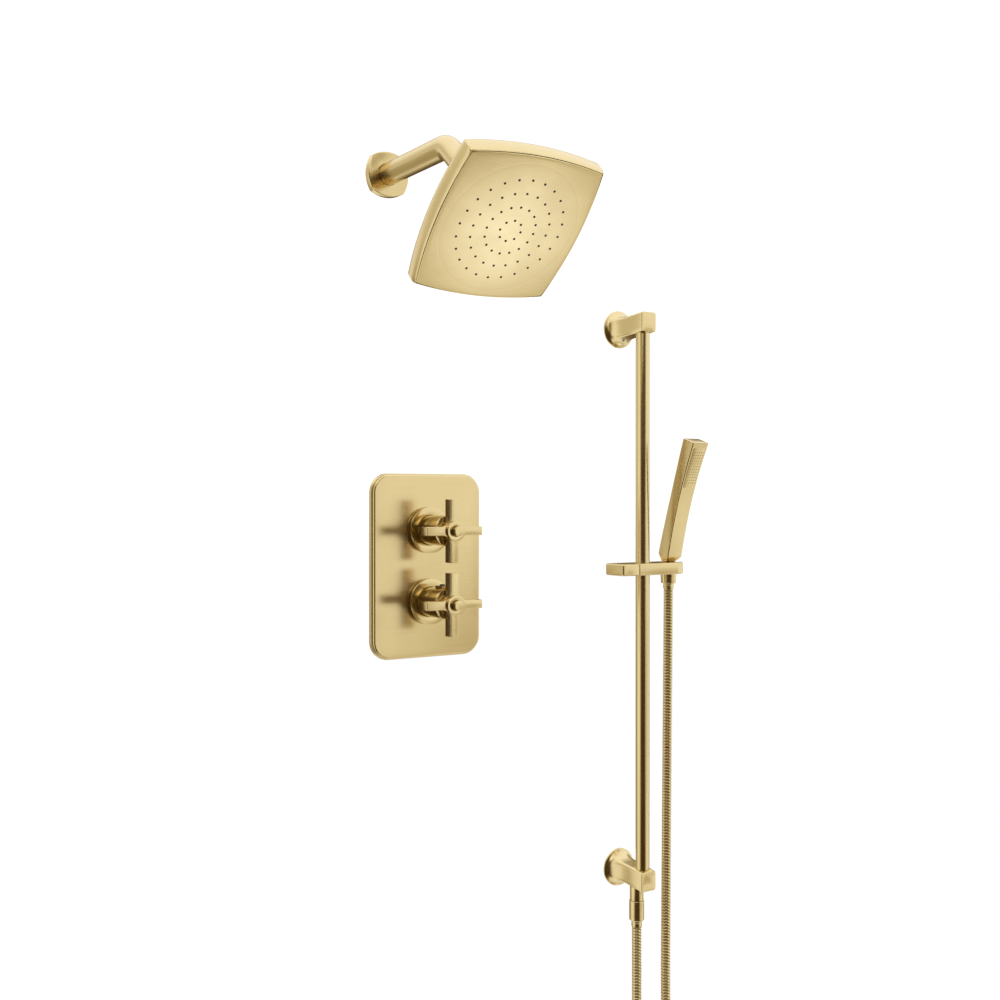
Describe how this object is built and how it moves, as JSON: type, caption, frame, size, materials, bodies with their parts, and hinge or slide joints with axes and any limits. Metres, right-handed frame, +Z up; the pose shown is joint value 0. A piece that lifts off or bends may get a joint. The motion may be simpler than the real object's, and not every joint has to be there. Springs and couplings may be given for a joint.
{
  "type": "concealed shower set",
  "caption": "Wall-held concealed shower set: square rain head on a bent arm, valve plate with cross handles, and a slide rail with handset and metal hose.",
  "frame": {"origin": "middle of the trim plate's back, on the wall plane", "axes": "+Z up, +Y into the wall, -Y into the room, +X to the right as seen from the room"},
  "size_m": [0.5739, 0.4057, 1.4339],
  "materials": {
    "brushed_gold": "satin brushed gold with fine straight or turned grain",
    "handset_gold": "satin brushed gold plating over moulded plastic",
    "hose_sheath": "interlocked gold metal spiral over a flexible tube",
    "raw_brass": "machined raw brass",
    "steel": "plain stainless steel",
    "black_rubber": "matt black rubber",
    "nozzle_silicone": "soft silicone",
    "white_plastic": "plain moulded acetal",
    "dark_plastic": "plain dark moulded plastic"
  },
  "bodies": {
    "root": {"arm_flange": "brushed_gold", "shower_arm": "brushed_gold", "trim_plate": "brushed_gold", "volume_sleeve": "brushed_gold", "temperature_sleeve": "brushed_gold", "upper_bracket": "brushed_gold", "lower_bracket": "brushed_gold", "rail": "brushed_gold", "outlet_collar": "brushed_gold", "hose_outlet_nut": "brushed_gold", "hose_outlet_ferrule": "brushed_gold", "hose_loop": "hose_sheath", "hose_strand": "hose_sheath", "ball_stud": "raw_brass", "valve_body": "raw_brass", "volume_cartridge": "raw_brass", "temperature_cartridge": "raw_brass", "upper_wall_post": "raw_brass", "lower_inlet_nipple": "raw_brass", "upper_wall_screw": "steel", "upper_grub_screw": "steel", "lower_grub_screw": "steel", "arm_flange_seal": "black_rubber", "plate_gasket": "black_rubber", "outlet_washer": "black_rubber", "temperature_stop_ring": "white_plastic"},
    "ball_seat": {"ball_seat_ring": "white_plastic"},
    "rain_head": {"lower_ball_seal": "black_rubber", "ball_collar_nut": "brushed_gold", "head_back_shell": "brushed_gold", "head_face_plate": "brushed_gold", "head_nozzle_sheet": "nozzle_silicone", "head_gasket": "black_rubber", "head_inner_plate": "dark_plastic", "head_inlet_filter": "steel"},
    "volume_handle": {"volume_skirt": "brushed_gold", "volume_stem": "raw_brass", "volume_cross": "brushed_gold", "volume_screw": "steel", "volume_cap": "brushed_gold"},
    "temperature_handle": {"temperature_skirt": "brushed_gold", "temperature_stem": "raw_brass", "temperature_cross": "brushed_gold", "temperature_screw": "steel", "temperature_cap": "brushed_gold", "safety_button_spring": "steel"},
    "safety_button": {"safety_button": "dark_plastic"},
    "slider_bush": {"slider_bush": "white_plastic"},
    "slider_body": {"slider_body": "brushed_gold", "hose_swivel_strand": "hose_sheath"},
    "clamp_lever": {"clamp_lever": "brushed_gold", "clamp_screw": "steel"},
    "hose_end": {"hose_top_ferrule": "brushed_gold", "hose_lift_strand": "hose_sheath"},
    "handset": {"hose_cone_nut": "brushed_gold", "handset_washer": "black_rubber", "handset_connector": "raw_brass", "handset_body": "handset_gold", "handset_spray_face": "handset_gold", "handset_end_cap": "handset_gold"}
  },
  "joints": [
    {"name": "head_pan", "type": "hinge", "parent": "root", "child": "ball_seat", "pos_m": [-0.055, -0.24502, 0.40712], "axis": [0, -0.7169, 0.6972], "range_deg": [-12, 12]},
    {"name": "head_tilt", "type": "hinge", "parent": "ball_seat", "child": "rain_head", "pos_m": [-0.055, -0.24502, 0.40712], "axis": [1, 0, 0], "range_deg": [-12, 12]},
    {"name": "volume_handle_turn", "type": "hinge", "parent": "root", "child": "volume_handle", "pos_m": [0, 0, 0.0451], "axis": [0, -1, 0], "range_deg": [-90, 90]},
    {"name": "temperature_handle_turn", "type": "hinge", "parent": "root", "child": "temperature_handle", "pos_m": [0, 0, -0.0451], "axis": [0, -1, 0], "range_deg": [-110, 40]},
    {"name": "safety_button_press", "type": "slide", "parent": "temperature_handle", "child": "safety_button", "axis": [0, 0, -1], "range_m": [0, 0.003], "stiffness_N_per_m": 400, "deforming": ["safety_button_spring"]},
    {"name": "slider_slide", "type": "slide", "parent": "root", "child": "slider_bush", "axis": [0, 0, 1], "range_m": [-0.385, 0.28], "deforming": ["hose_strand"]},
    {"name": "slider_swivel", "type": "hinge", "parent": "slider_bush", "child": "slider_body", "pos_m": [0.311, -0.054, 0], "axis": [0, 0, 1], "range_deg": [-35, 30]},
    {"name": "clamp_lever_turn", "type": "hinge", "parent": "slider_body", "child": "clamp_lever", "pos_m": [0.27, -0.054, -0.0115], "axis": [1, 0, 0], "range_deg": [0, 90]},
    {"name": "handset_lift", "type": "slide", "parent": "slider_body", "child": "hose_end", "axis": [0, 0, 1], "range_m": [0, 0.03]},
    {"name": "handset_turn", "type": "hinge", "parent": "hose_end", "child": "handset", "pos_m": [0.357, -0.054, 0], "axis": [0, 0, 1], "range_deg": [-40, 40]}
  ]
}
